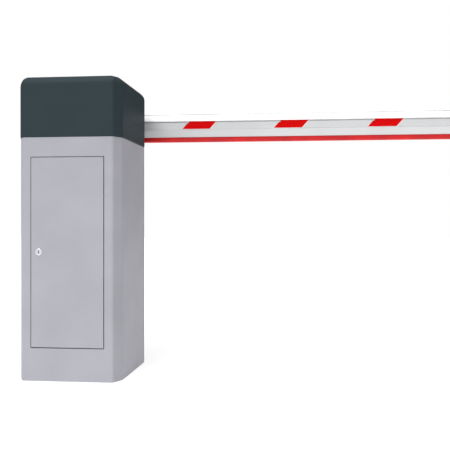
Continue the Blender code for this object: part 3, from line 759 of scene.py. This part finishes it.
def make_lock():
    """A cylinder lock: a chrome bezel fixed in the door and a core with a keyhole and a cam behind."""
    face, deep = BARREL_LOW.y, BARREL_HIGH.y - BARREL_LOW.y
    bore, rim = 0.0063, 0.0115
    profile = [
        (bore, 0.0002), (0.0066, 0.0), (0.0092, 0.0), (0.0108, 0.0004), (rim, 0.0011),
        (rim, 0.0016), (0.0097, 0.0017), (0.0096, deep), (bore, deep),
    ]
    turned_part("lock_bezel", profile, (LOCK_X, face, LOCK_Z), BACK, 64, "door", "chrome", "lock_barrel")
    nut = round_bar("lock_nut", 0.0135, (LOCK_X, -0.1428, LOCK_Z), (LOCK_X, -0.1390, LOCK_Z), 6)
    carve(nut, round_bar("nut_bore", 0.0098, (LOCK_X, -0.15, LOCK_Z), (LOCK_X, -0.13, LOCK_Z)))
    deliver(soften(nut, 0.0004), "door", "bolt")

    front, back, tongue = CAM_LOW.y, CAM_HIGH.y, 0.008
    core = round_bar("lock_core", 0.0060, (LOCK_X, front, LOCK_Z), (LOCK_X, back, LOCK_Z), 48)
    slot, reach = 0.0023, 0.0030
    keyhole = arc(LOCK_X, LOCK_Z + reach, slot, 0, 180, 8) + arc(LOCK_X, LOCK_Z - reach, slot, 180, 360, 8)
    carve(core, section("keyhole", keyhole, front - 0.001, front + 0.007, "Y"))
    outline = arc(LOCK_X, LOCK_Z, tongue, 0, 180, 16) + arc(LOCK_X, CAM_LOW.z + tongue, tongue, 180, 360, 16)
    weld(core, section("cam", outline, back - 0.0027, back - 0.0002, "Y"))
    deliver(soften(core, 0.0003, 2, 40), "lock", "chrome", "lock_cam")


# ---- boom
# Heights on the boom's side: its edges, the bed that the markers lie on and the groove above it
SIDE_LOW, SIDE_HIGH = 0.8765, 0.9110
BED_LOW, BED_DEEP, NOTCH = 0.8792, 0.0008, 0.0016
GROOVE_LOW, GROOVE_HIGH, GROOVE_DEEP = 0.9046, 0.9080, 0.0055
MARKER_DIP = 0.0013


def boom_outline(inset=0.0):
    """The boom's section. Under each upper facet runs a narrow groove, and a marker lies across it.

    inset makes the inside of the wall, which is plain.
    """
    half, top, bottom = BOOM_HALF - inset, BOOM_HIGH.z - inset, BOOM_LOW.z + inset
    lean = 0.41 * inset
    bed, groove = half - BED_DEEP, half - GROOVE_DEEP
    side = [(0.012 - lean, bottom)]
    if inset:
        side += [(bed, 0.8780 + lean), (bed, 0.9000), (groove, 0.9020), (groove, SIDE_HIGH + 0.0005)]
    else:
        notch, ease = half - NOTCH, 0.0004
        side += [(half, SIDE_LOW), (half, BED_LOW - NOTCH), (notch, BED_LOW - 0.0015), (notch, BED_LOW)]
        side += [(bed, BED_LOW), (bed, GROOVE_LOW), (groove, GROOVE_LOW + ease), (groove, GROOVE_HIGH - ease)]
        side += [(half, GROOVE_HIGH), (half, SIDE_HIGH)]
        side += [(0.0109, 0.9360), (0.0090, 0.9350), (0.0077, 0.9373), (0.0096, 0.9383)]
    side.append((0.007 - lean / 2, top - 3 * inset))
    return [(BOOM_Y + y, z) for y, z in side] + [(BOOM_Y - y, z) for y, z in reversed(side)]


class GATE_OT_boom(bpy.types.Operator):
    """Boom extrusion, its end caps, rubber edge and reflective markers"""

    bl_idname = "gate.boom"
    bl_label = "Boom"

    def execute(self, context):
        tube = section("boom_tube", boom_outline(), BOOM_LOW.x, BOOM_HIGH.x, "X")
        inside = boom_outline(sizes().boom_wall)
        carve(tube, section("boom_bore", inside, BOOM_LOW.x - 0.1, BOOM_HIGH.x + 0.1, "X"))
        deliver(soften(tube, 0.0007, 2, 8, 30), "boom", "boom", "boom_extrusion")
        for name, node in (("tip", "boom_end_cap"), ("tail", "boom_tail_cap")):
            softened_node(node, f"boom_{name}_plug", "boom", "black", 0.0015, 3)
        rubber = section("boom_edge", edge_outline(), EDGE_LOW.x, EDGE_HIGH.x, "X")
        deliver(soften(rubber, 0.0005), "boom", "edge", "boom_rubber_edge")

        pitch, first = sizes().marker_pitch, sizes().marker_start
        for i in range(int((BOOM_HIGH.x - first) / pitch) + 1):
            for side, face in (("front", -1), ("back", 1)):
                make_marker(f"marker_{side}_{i + 1}", first + pitch * i, face)
        return {"FINISHED"}


def edge_outline():
    """The rubber edge's section: flat sides and a rounded lower lip."""
    wide, lip = (EDGE_HIGH.y - EDGE_LOW.y) / 2, 0.006
    turns = [math.radians(a) for a in range(180, 361, 15)]
    curve = [(BOOM_Y + wide * math.cos(a), EDGE_LOW.z + lip + lip * math.sin(a)) for a in turns]
    return curve + [(BOOM_Y + wide, EDGE_HIGH.z), (BOOM_Y - wide, EDGE_HIGH.z)]


def make_marker(name, middle, face):
    """A leaning strip of red film on a slightly larger white one, dipping where it crosses the groove."""
    half, lean = sizes().marker_width / 2, sizes().marker_lean / 2
    dip = {round((GROOVE_LOW + GROOVE_HIGH) / 2, 5): MARKER_DIP}
    layers = (
        ("rim", 0.0020, 0.0, 0.00005, 0.0002, "marker_rim"),
        ("film", 0.0, 0.0008, 0.0002, 0.0004, "marker"),
    )
    for layer, grow, trim, start, end, finish in layers:
        foot, head = BED_LOW + 0.0002 + trim, GROOVE_HIGH + 0.0018 - trim
        levels = [foot, GROOVE_LOW, *dip, GROOVE_HIGH, head]
        slope = [2 * lean * (z - (foot + head) / 2) / (head - foot) for z in levels]
        right = [(middle + half + grow + shift, z) for shift, z in zip(slope, levels)]
        left = [(middle - half - grow + shift, z) for shift, z in zip(slope, levels)]
        strip = section(f"{name}_{layer}", right + left[::-1], 0.0, 1.0, "Y")
        for vertex in strip.data.vertices:
            proud = end if vertex.co.y > 0.5 else start
            deep = dip.get(round(vertex.co.z, 5), 0.0 if vertex.co.z > GROOVE_LOW + 0.001 else BED_DEEP)
            vertex.co.y = BOOM_Y + face * (BOOM_HALF - deep + proud)
        deliver(fix_normals(strip), "boom", finish)


# ---- clamp behind the cabinet
class GATE_OT_clamp(bpy.types.Operator):
    """Hub flange, clamp plate and bolts that hold the boom"""

    bl_idname = "gate.clamp"
    bl_label = "Clamp"

    def execute(self, context):
        softened_node("hub_flange", "boom_seat", "boom", "cap", 0.0018, 3)
        softened_node("boom_clamp_plate", "clamp_plate", "boom", "cap", 0.0018, 3)
        for number in range(1, 5):
            softened_node(f"clamp_bolt_{number}", f"through_bolt_{number}", "boom", "bolt", 0.0006)
        return {"FINISHED"}


# ---- chassis
class GATE_OT_chassis(bpy.types.Operator):
    """Galvanised chassis that carries the shaft and the drive"""

    bl_idname = "gate.chassis"
    bl_label = "Chassis"

    def execute(self, context):
        plates = (
            ("chassis_left_plate", "side_plate_left", 0.0008),
            ("support_rail_left", "side_rail_left", 0.0008),
            ("chassis_right_plate", "side_plate_right", 0.0008),
            ("support_rail_right", "side_rail_right", 0.0008),
            ("chassis_top_plate", "top_plate", 0.0010),
            ("gearbox_bracket", "drive_bracket", 0.0008),
            ("spring_crossbar", "spring_channel", 0.0010),
            ("equipment_plate", "equipment_rack", 0.0005),
        )
        for node, name, edge in plates:
            softened_node(node, name, "cabinet", "zinc", edge)
        inner = abs(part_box("chassis_left_plate")[1].x)
        for side, face in (("left", 1), ("right", -1)):
            seats = [(-face * inner, y, 0.631) for y in (-0.075, -0.010)]
            fastener_row(hex_bolt, f"rail_bolt_{side}", 0.004, seats, (face, 0, 0))
        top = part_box("chassis_top_plate")[1].z
        seats = [(x, y, top - SUNK) for x in (-0.1525, 0.1525) for y in (-0.085, 0.0, 0.095)]
        fastener_row(button_screw, "top_screw", 0.0042, seats, UP)
        for name in ("front", "rear"):
            make_bearing(name)
        return {"FINISHED"}


def make_bearing(name):
    """A pillow block: an enamelled casting, a ground inner ring, a grease nipple and two foot bolts."""
    node = f"bearing_block_{name}"
    low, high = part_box(node)
    middle = middle_of(low, high)[1]
    softened_node(node, f"pillow_block_{name}", "cabinet", "casting", 0.0020, 3)
    half = 0.0185
    rings = (
        ("race", SHAFT_R + GAP, 0.0262, half + 0.0012, "steel"),
        ("seal", 0.0266, 0.0350, half - 0.0004, "rubber"),
    )
    for ring, inside, outside, wide, finish in rings:
        profile = ring_profile(inside, outside, -wide, wide, 0.0006)
        place = (SHAFT_X, middle, SHAFT_Z)
        turned_part(f"bearing_{ring}_{name}", profile, place, BACK, 64, "cabinet", finish)
    profile = [
        (0.0, 0.0), (0.0032, 0.0), (0.0032, 0.0035), (0.0016, 0.0045),
        (0.0015, 0.0062), (0.0022, 0.0075), (0.0018, 0.0092), (0.0, 0.0098),
    ]
    crown = (SHAFT_X, middle, high.z - 0.0006)
    turned_part(f"grease_nipple_{name}", profile, crown, UP, 20, "cabinet", "brass")
    seats = [(x, middle, low.z + 0.0159) for x in (-0.072, 0.072)]
    fastener_row(hex_bolt, f"bearing_bolt_{name}", 0.005, seats, UP)


# ---- levers
class GATE_OT_levers(bpy.types.Operator):
    """Main shaft, levers, buffers and sensors"""

    bl_idname = "gate.levers"
    bl_label = "Levers"

    def execute(self, context):
        bars = (
            ("main_shaft", "lift_shaft", "boom", 0.0012),
            ("main_lever", "drive_lever", "boom", 0.0010),
            ("stop_lever", "limit_lever", "boom", 0.0010),
            ("connecting_rod", "drive_rod", "rod", 0.0010),
            ("crank_arm", "drive_crank", "crank", 0.0010),
        )
        for node, name, body, edge in bars:
            softened_node(node, name, body, "steel", edge)
        for name, y in (("front", -0.0400), ("rear", 0.0580)):
            profile = ring_profile(SHAFT_R + GAP, 0.0300, 0.0, 0.0100, 0.0010)
            collar = turned(f"shaft_collar_{name}", profile, (SHAFT_X, y, SHAFT_Z), BACK, 56)
            ends = [(SHAFT_X, y + 0.005, SHAFT_Z + reach) for reach in (0.025, 0.04)]
            carve(collar, round_bar("socket", 0.0022, *ends, 6))
            deliver(smooth_faces(collar), "boom", "steel")
        for name, side in (("closed", 1), ("open", -1)):
            softened_node(f"stop_buffer_{name}", f"limit_buffer_{name}", "cabinet", "rubber", 0.0012, 3)
            sensor = f"position_sensor_{name}"
            softened_node(sensor, f"limit_sensor_{name}", "cabinet", "black", 0.0008)
            eye = (side * 0.068, middle_of(*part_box(sensor))[1], SHAFT_Z)
            profile = [(0.0, 0.0), (0.0040, 0.0), (0.0040, 0.0006), (0.0030, 0.0012), (0.0, 0.0012)]
            turned_part(f"sensor_face_{name}", profile, eye, (-side, 0, 0), 28, "cabinet", "edge")
        return {"FINISHED"}


# ---- drive
class GATE_OT_drive(bpy.types.Operator):
    """Finned motor and worm gearbox"""

    bl_idname = "gate.drive"
    bl_label = "Drive"

    def execute(self, context):
        make_gearbox()
        make_motor()
        make_terminal_box()
        make_fan_cowl()
        softened_node("output_shaft", "slow_shaft", "crank", "steel", 0.0010)
        softened_node("motor_rotor", "rotor_and_fan", "rotor", "steel", 0.0004, 1)
        return {"FINISHED"}


def make_gearbox():
    """An enamelled worm gearbox with a bolted cover, an oil plug and a sight glass."""
    softened_node("gearbox_case", "gear_case", "cabinet", "gearbox", 0.0035, 4)
    low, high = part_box("gearbox_cover")
    x, z = middle_of(low, high)[::2]
    front, deep, outside = low.y, high.y - low.y, (high.x - low.x) / 2
    bore, thick = 0.0158, 0.0030
    profile = [
        (bore, deep), (bore, 0.0002), (0.0240, 0.0), (0.0250, 0.0010), (0.0262, 0.0026),
        (0.0370, thick), (outside - 0.0010, thick), (outside, thick + 0.0010), (outside, deep),
    ]
    place = (x, front, z)
    turned_part("gear_cover", profile, place, BACK, 72, "cabinet", "aluminium", "gearbox_cover")
    seats = [(u, front + 0.0029, v) for u, v in arc(x, z, 0.0435, 30, 330, 5)]
    fastener_row(button_screw, "cover_screw", 0.0034, seats, FRONT)
    face, y = -0.0098, 0.070
    deliver(hex_bolt("oil_plug", 0.0050, (face, y, 0.730), (-1, 0, 0)), "cabinet", "brass")
    glass = [(0.0, 0.0), (0.0085, 0.0), (0.0085, 0.0030), (0.0066, 0.0036), (0.0062, 0.0022), (0.0, 0.0026)]
    turned_part("sight_glass", glass, (face, y, 0.690), (-1, 0, 0), 36, "cabinet", "brass")


def make_motor():
    """A motor's housing: cooling fins between two end shields, which leave a gap for the terminal box."""
    low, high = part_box("motor_body")
    x, y = middle_of(low, high)[:2]
    outside, inside, step = (high.x - low.x) / 2, 0.0421, 0.0012
    drum, shield = outside - 0.0060, low.z + 0.0115
    foot, neck, crown = low.z, 0.6220, high.z
    profile = [
        (inside, foot), (outside - 0.0010, foot), (outside, foot + 0.0010), (outside, shield),
        (outside - step, shield + step), (drum, shield + 0.0020), (drum, neck - 0.0200),
        (outside - step, neck - 0.0190), (outside, neck - 0.0180), (outside, neck - 0.0080),
        (drum, neck - 0.0010), (0.0370, neck), (0.0320, neck + 0.0050), (0.0320, crown),
        (0.0080, crown), (0.0080, 0.6105), (inside, 0.6100),
    ]
    shell = turned("motor_housing", profile, (x, y, 0), UP, 72)
    fins, count = [], 30
    for turn in (360 * i / count for i in range(count)):
        if abs(turn - 270) < 40:
            continue
        fin = block("fin", (drum - 0.0015, -0.0009, foot + 0.0100), (outside - 0.0004, 0.0009, neck - 0.0160))
        fin.data.transform(Matrix.Translation((x, y, 0)) @ Matrix.Rotation(math.radians(turn), 4, "Z"))
        fins.append(fin)
    focus(fins[0])
    for fin in fins:
        fin.select_set(True)
    bpy.ops.object.join()
    weld(shell, fins[0])
    deliver(smooth_faces(shell, 28), "cabinet", "motor", "motor_body")


def make_terminal_box():
    """The motor's terminal box with its screwed lid and a gland in its floor."""
    softened_node("motor_terminal_box", "terminal_box", "cabinet", "motor", 0.0025, 4)
    low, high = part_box("motor_terminal_box")
    margin, face = 0.003, low.y - 0.0022
    start = (low.x + margin, face, low.z + margin)
    lid = block("terminal_lid", start, (high.x - margin, low.y - 0.0001, high.z - margin))
    deliver(soften(lid, 0.0008, 3), "cabinet", "motor")
    seats = lid_seats(low, high, 0.009, low.y - 0.0021)
    fastener_row(button_screw, "terminal_screw", 0.0026, seats, FRONT)
    profile = [
        (0.0, 0.0), (0.0085, 0.0), (0.0085, 0.0060), (0.0070, 0.0070),
        (0.0072, 0.0130), (0.0055, 0.0150), (0.0, 0.0150),
    ]
    x, y = middle_of(low, high)[:2]
    turned_part("terminal_gland", profile, (x, y, low.z), DOWN, 12, "cabinet", "black")


def make_fan_cowl():
    """The cowl round the motor's fan, with a wire guard over its mouth."""
    low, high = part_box("motor_fan_cover")
    x, y = middle_of(*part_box("motor_body"))[:2]
    outside, mouth, wall = (high.x - low.x) / 2, 0.0300, 0.0022
    foot, crown = low.z, high.z
    profile = [
        (outside - wall, crown), (outside, crown), (outside, foot + 0.0060),
        (outside - 0.0018, foot + 0.0018), (outside - 0.0060, foot), (mouth, foot),
        (mouth, foot + wall), (outside - 0.0072, foot + wall), (outside - wall, foot + 0.0072),
    ]
    cowl = turned("fan_cowl", profile, (x, y, 0), UP, 72)
    for radius in (0.0060, 0.0140, 0.0220):
        inside, outside = radius - 0.0013, radius + 0.0013
        start, end = foot + 0.0002, foot + 0.0020
        ring = [(inside, start), (outside, start), (outside, end), (inside, end)]
        weld(cowl, turned("guard_ring", ring, (x, y, 0), UP, 48))
    for turn in (0, 60, 120):
        bar = block("guard_bar", (-0.0310, -0.0012, foot + 0.0003), (0.0310, 0.0012, foot + 0.0018))
        bar.data.transform(Matrix.Translation((x, y, 0)) @ Matrix.Rotation(math.radians(turn), 4, "Z"))
        weld(cowl, bar)
    deliver(smooth_faces(cowl, 28), "cabinet", "black", "motor_fan_cover")


# ---- balance springs
class GATE_OT_balance(bpy.types.Operator):
    """Coil springs, the yoke above them and the adjusters below"""

    bl_idname = "gate.balance"
    bl_label = "Balance Springs"

    def execute(self, context):
        softened_node("spring_hanger", "spring_yoke_bar", "spring_yoke", "steel", 0.0010)
        for number in (1, 2):
            make_spring(number)
            make_adjuster(number)
        return {"FINISHED"}


def make_spring(number):
    """A coil with two closed turns at each end and a plug in its top; the coil is built at one length, though
    the real one shortens as the boom rises.
    """
    low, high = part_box(f"spring_{number}")
    x, y = middle_of(low, high)[:2]
    wire = sizes().spring_wire / 2
    radius, foot, crown = (high.x - low.x) / 2 - wire, low.z + wire, high.z - wire
    turns, closed, steps = 26, 2.0, 20
    tight, free = 2 * wire * 1.02, turns - 2 * closed
    loose = (crown - foot - 2 * closed * tight) / free
    coil = bpy.data.curves.new(f"coil_spring_{number}", "CURVE")
    coil.dimensions = "3D"
    coil.bevel_depth = wire
    coil.bevel_resolution = 2
    coil.use_fill_caps = True
    spline = coil.splines.new("POLY")
    spline.points.add(turns * steps)
    for i, point in enumerate(spline.points):
        turn = i / steps
        rise = tight * min(turn, closed) + loose * min(max(turn - closed, 0), free)
        rise += tight * max(turn - (turns - closed), 0)
        angle = 2 * math.pi * turn
        point.co = (x + radius * math.cos(angle), y + radius * math.sin(angle), foot + rise, 1)
    focus(put_in(f"coil_spring_{number}", coil))
    bpy.ops.object.convert(target="MESH")
    piece = fix_normals(bpy.context.object)
    bpy.ops.object.shade_smooth_by_angle(angle=math.radians(50))
    deliver(piece, "cabinet", "spring", f"spring_{number}")
    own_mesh(piece)

    bore = radius - wire - GAP
    profile = [(0.0, -0.020), (bore - 0.002, -0.020), (bore, -0.017), (bore, 0.0), (0.0, 0.0)]
    top = (x, y, high.z + 0.0002)
    turned_part(f"spring_plug_{number}", profile, top, UP, 40, "spring_yoke", "bolt")


def make_adjuster(number):
    """A threaded rod with two lock nuts on the channel and a seat that holds the spring's foot."""
    node = f"spring_adjuster_{number}"
    low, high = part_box(node)
    x, y = middle_of(low, high)[:2]
    seat, rim = high.z - 0.0100, 0.0150
    profile = thread_profile(0.006, low.z, seat, 0.0020)[:-1]
    profile += [(0.0135, seat), (rim, seat + 0.0015), (rim, high.z - 0.0010), (0.0140, high.z), (0.0, high.z)]
    rod = turned(f"adjuster_{number}", profile, (x, y, 0), UP, 32)
    deliver(smooth_faces(rod, 30), "cabinet", "bolt", node)
    for place, foot, crown in (("lower", 0.3755, 0.3857), ("upper", 0.3903, 0.4000)):
        nut = hexagon(f"{place}_nut_{number}", 0.0110, (x, y, foot), UP, crown - foot)
        deliver(soften(nut, 0.0002, 1, 25), "cabinet", "bolt")


# ---- electrics
class GATE_OT_electrics(bpy.types.Operator):
    """Control box and circuit breaker on the rear rack"""

    bl_idname = "gate.electrics"
    bl_label = "Electrics"

    def execute(self, context):
        make_control_box()
        softened_node("breaker_body", "breaker", "cabinet", "pale", 0.0010, 3)
        softened_node("breaker_toggle", "breaker_switch", "toggle", "black", 0.0006)
        low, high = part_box("breaker_body")
        x, margin = middle_of(low, high)[0], 0.010
        seats = [(x, low.y + SUNK, z) for z in (low.z + margin, high.z - margin)]
        fastener_row(button_screw, "breaker_screw", 0.0032, seats, FRONT, "brass")
        return {"FINISHED"}


def make_control_box():
    """A moulded case with a stepped lid on four screws and a row of glands in its floor."""
    softened_node("control_box_case", "control_case", "cabinet", "pale", 0.0030, 4)
    low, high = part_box("control_box_lid")
    step, margin = 0.0015, 0.016
    lid = block("control_lid", (low.x, low.y + step, low.z), high)
    start = (low.x + margin, low.y, low.z + margin)
    panel = block("lid_panel", start, (high.x - margin, low.y + 0.004, high.z - margin))
    for part, radius in ((lid, 0.006), (panel, 0.004)):
        round_edges(part, runs_back, radius, 5)
    deliver(soften(weld(lid, panel), 0.0006), "cabinet", "pale", "control_box_lid")
    seats = lid_seats(low, high, 0.008, low.y + step + SUNK)
    fastener_row(button_screw, "lid_screw", 0.0032, seats, FRONT)
    profile = [
        (0.0, 0.0), (0.0095, 0.0), (0.0095, 0.0060), (0.0078, 0.0070),
        (0.0080, 0.0150), (0.0060, 0.0175), (0.0, 0.0175),
    ]
    case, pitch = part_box("control_box_case")[0], 0.034
    first = smooth_faces(turned("box_gland_1", profile, (case.x + 0.035, 0.095, case.z), DOWN, 12))
    for gland in [first] + [copy_of(first, f"box_gland_{i + 1}", (pitch * i, 0, 0)) for i in (1, 2, 3)]:
        deliver(gland, "cabinet", "black")


# ---- stage
class GATE_OT_stage(bpy.types.Operator):
    """Pale floor, soft lights and the camera"""

    bl_idname = "gate.stage"
    bl_label = "Stage"

    def execute(self, context):
        glow = {"Specular_IOR_Level": 0.0, "Emission_Color": linear("FFFFFF"), "Emission_Strength": 0.70}
        floor_finish = surface("studio_floor", "AAAAAA", 1.0, 0.0, **glow)[0]
        focus()
        bpy.ops.mesh.primitive_plane_add(size=40)
        floor = settle("studio_floor")
        floor.data.materials.append(floor_finish)

        make_sky(0.14)
        add_light("key", (-0.25, -0.62, 0.72), 30, 1.68)
        add_light("overhead", (0.05, -0.10, 1.0), 40, 2.2)
        add_camera()
        context.scene.view_settings.view_transform = "Standard"
        return {"FINISHED"}


def make_sky(strength):
    """White all round; the background itself is pure white, and what it lights gets less."""
    world = bpy.data.worlds.new("studio")
    bpy.context.scene.world = world
    world.use_nodes = True
    ray = add_node(world, "ShaderNodeLightPath")
    seen = {"Value": ray.outputs["Is Camera Ray"]}
    level = add_node(world, "ShaderNodeMapRange", {"To Min": strength, "To Max": 1.0}, seen)
    sky = world.node_tree.nodes["Background"].inputs
    sky["Color"].default_value = (1, 1, 1, 1)
    world.node_tree.links.new(level.outputs["Result"], sky["Strength"])


def add_light(name, direction, spread, strength):
    """A soft distant light that comes from a direction; spread is its width in degrees."""
    lamp = bpy.data.lights.new(name, "SUN")
    lamp.energy = strength
    lamp.angle = math.radians(spread)
    put_in(name, lamp).rotation_euler = Vector(direction).to_track_quat("Z", "Y").to_euler()


def add_camera():
    """Level camera to the right of the cabinet, turned a little towards it."""
    lens = bpy.data.cameras.new("camera")
    lens.lens = 47.26
    lens.sensor_width = 36
    lens.shift_x = -0.080
    lens.shift_y = -0.003
    camera = put_in("camera", lens)
    camera.location = (0.806, -2.025, 0.520)
    camera.rotation_euler = (math.radians(90), 0, math.radians(5.03))
    bpy.context.scene.camera = camera


class GATE_PT_panel(bpy.types.Panel):
    bl_idname = "GATE_PT_panel"
    bl_label = "Barrier Gate"
    bl_space_type = "VIEW_3D"
    bl_region_type = "UI"
    bl_category = "Barrier Gate"

    def draw(self, context):
        for operator in STEPS:
            self.layout.operator(operator.bl_idname)


STEPS = (
    GATE_OT_cabinet, GATE_OT_cap, GATE_OT_door, GATE_OT_boom, GATE_OT_clamp, GATE_OT_chassis, GATE_OT_levers,
    GATE_OT_drive, GATE_OT_balance, GATE_OT_electrics, GATE_OT_stage,
)
CLASSES = (GateSizes, GateColours, *STEPS, GATE_PT_panel)


def register():
    for one in CLASSES:
        bpy.utils.register_class(one)
    bpy.types.Scene.gate_sizes = bpy.props.PointerProperty(type=GateSizes)
    bpy.types.Scene.gate_colours = bpy.props.PointerProperty(type=GateColours)


def unregister():
    del bpy.types.Scene.gate_colours
    del bpy.types.Scene.gate_sizes
    for one in reversed(CLASSES):
        bpy.utils.unregister_class(one)


def main():
    register()
    make_finishes()
    for operator in STEPS:
        group, action = operator.bl_idname.split(".")
        getattr(getattr(bpy.ops, group), action)()


if __name__ == "__main__":
    main()
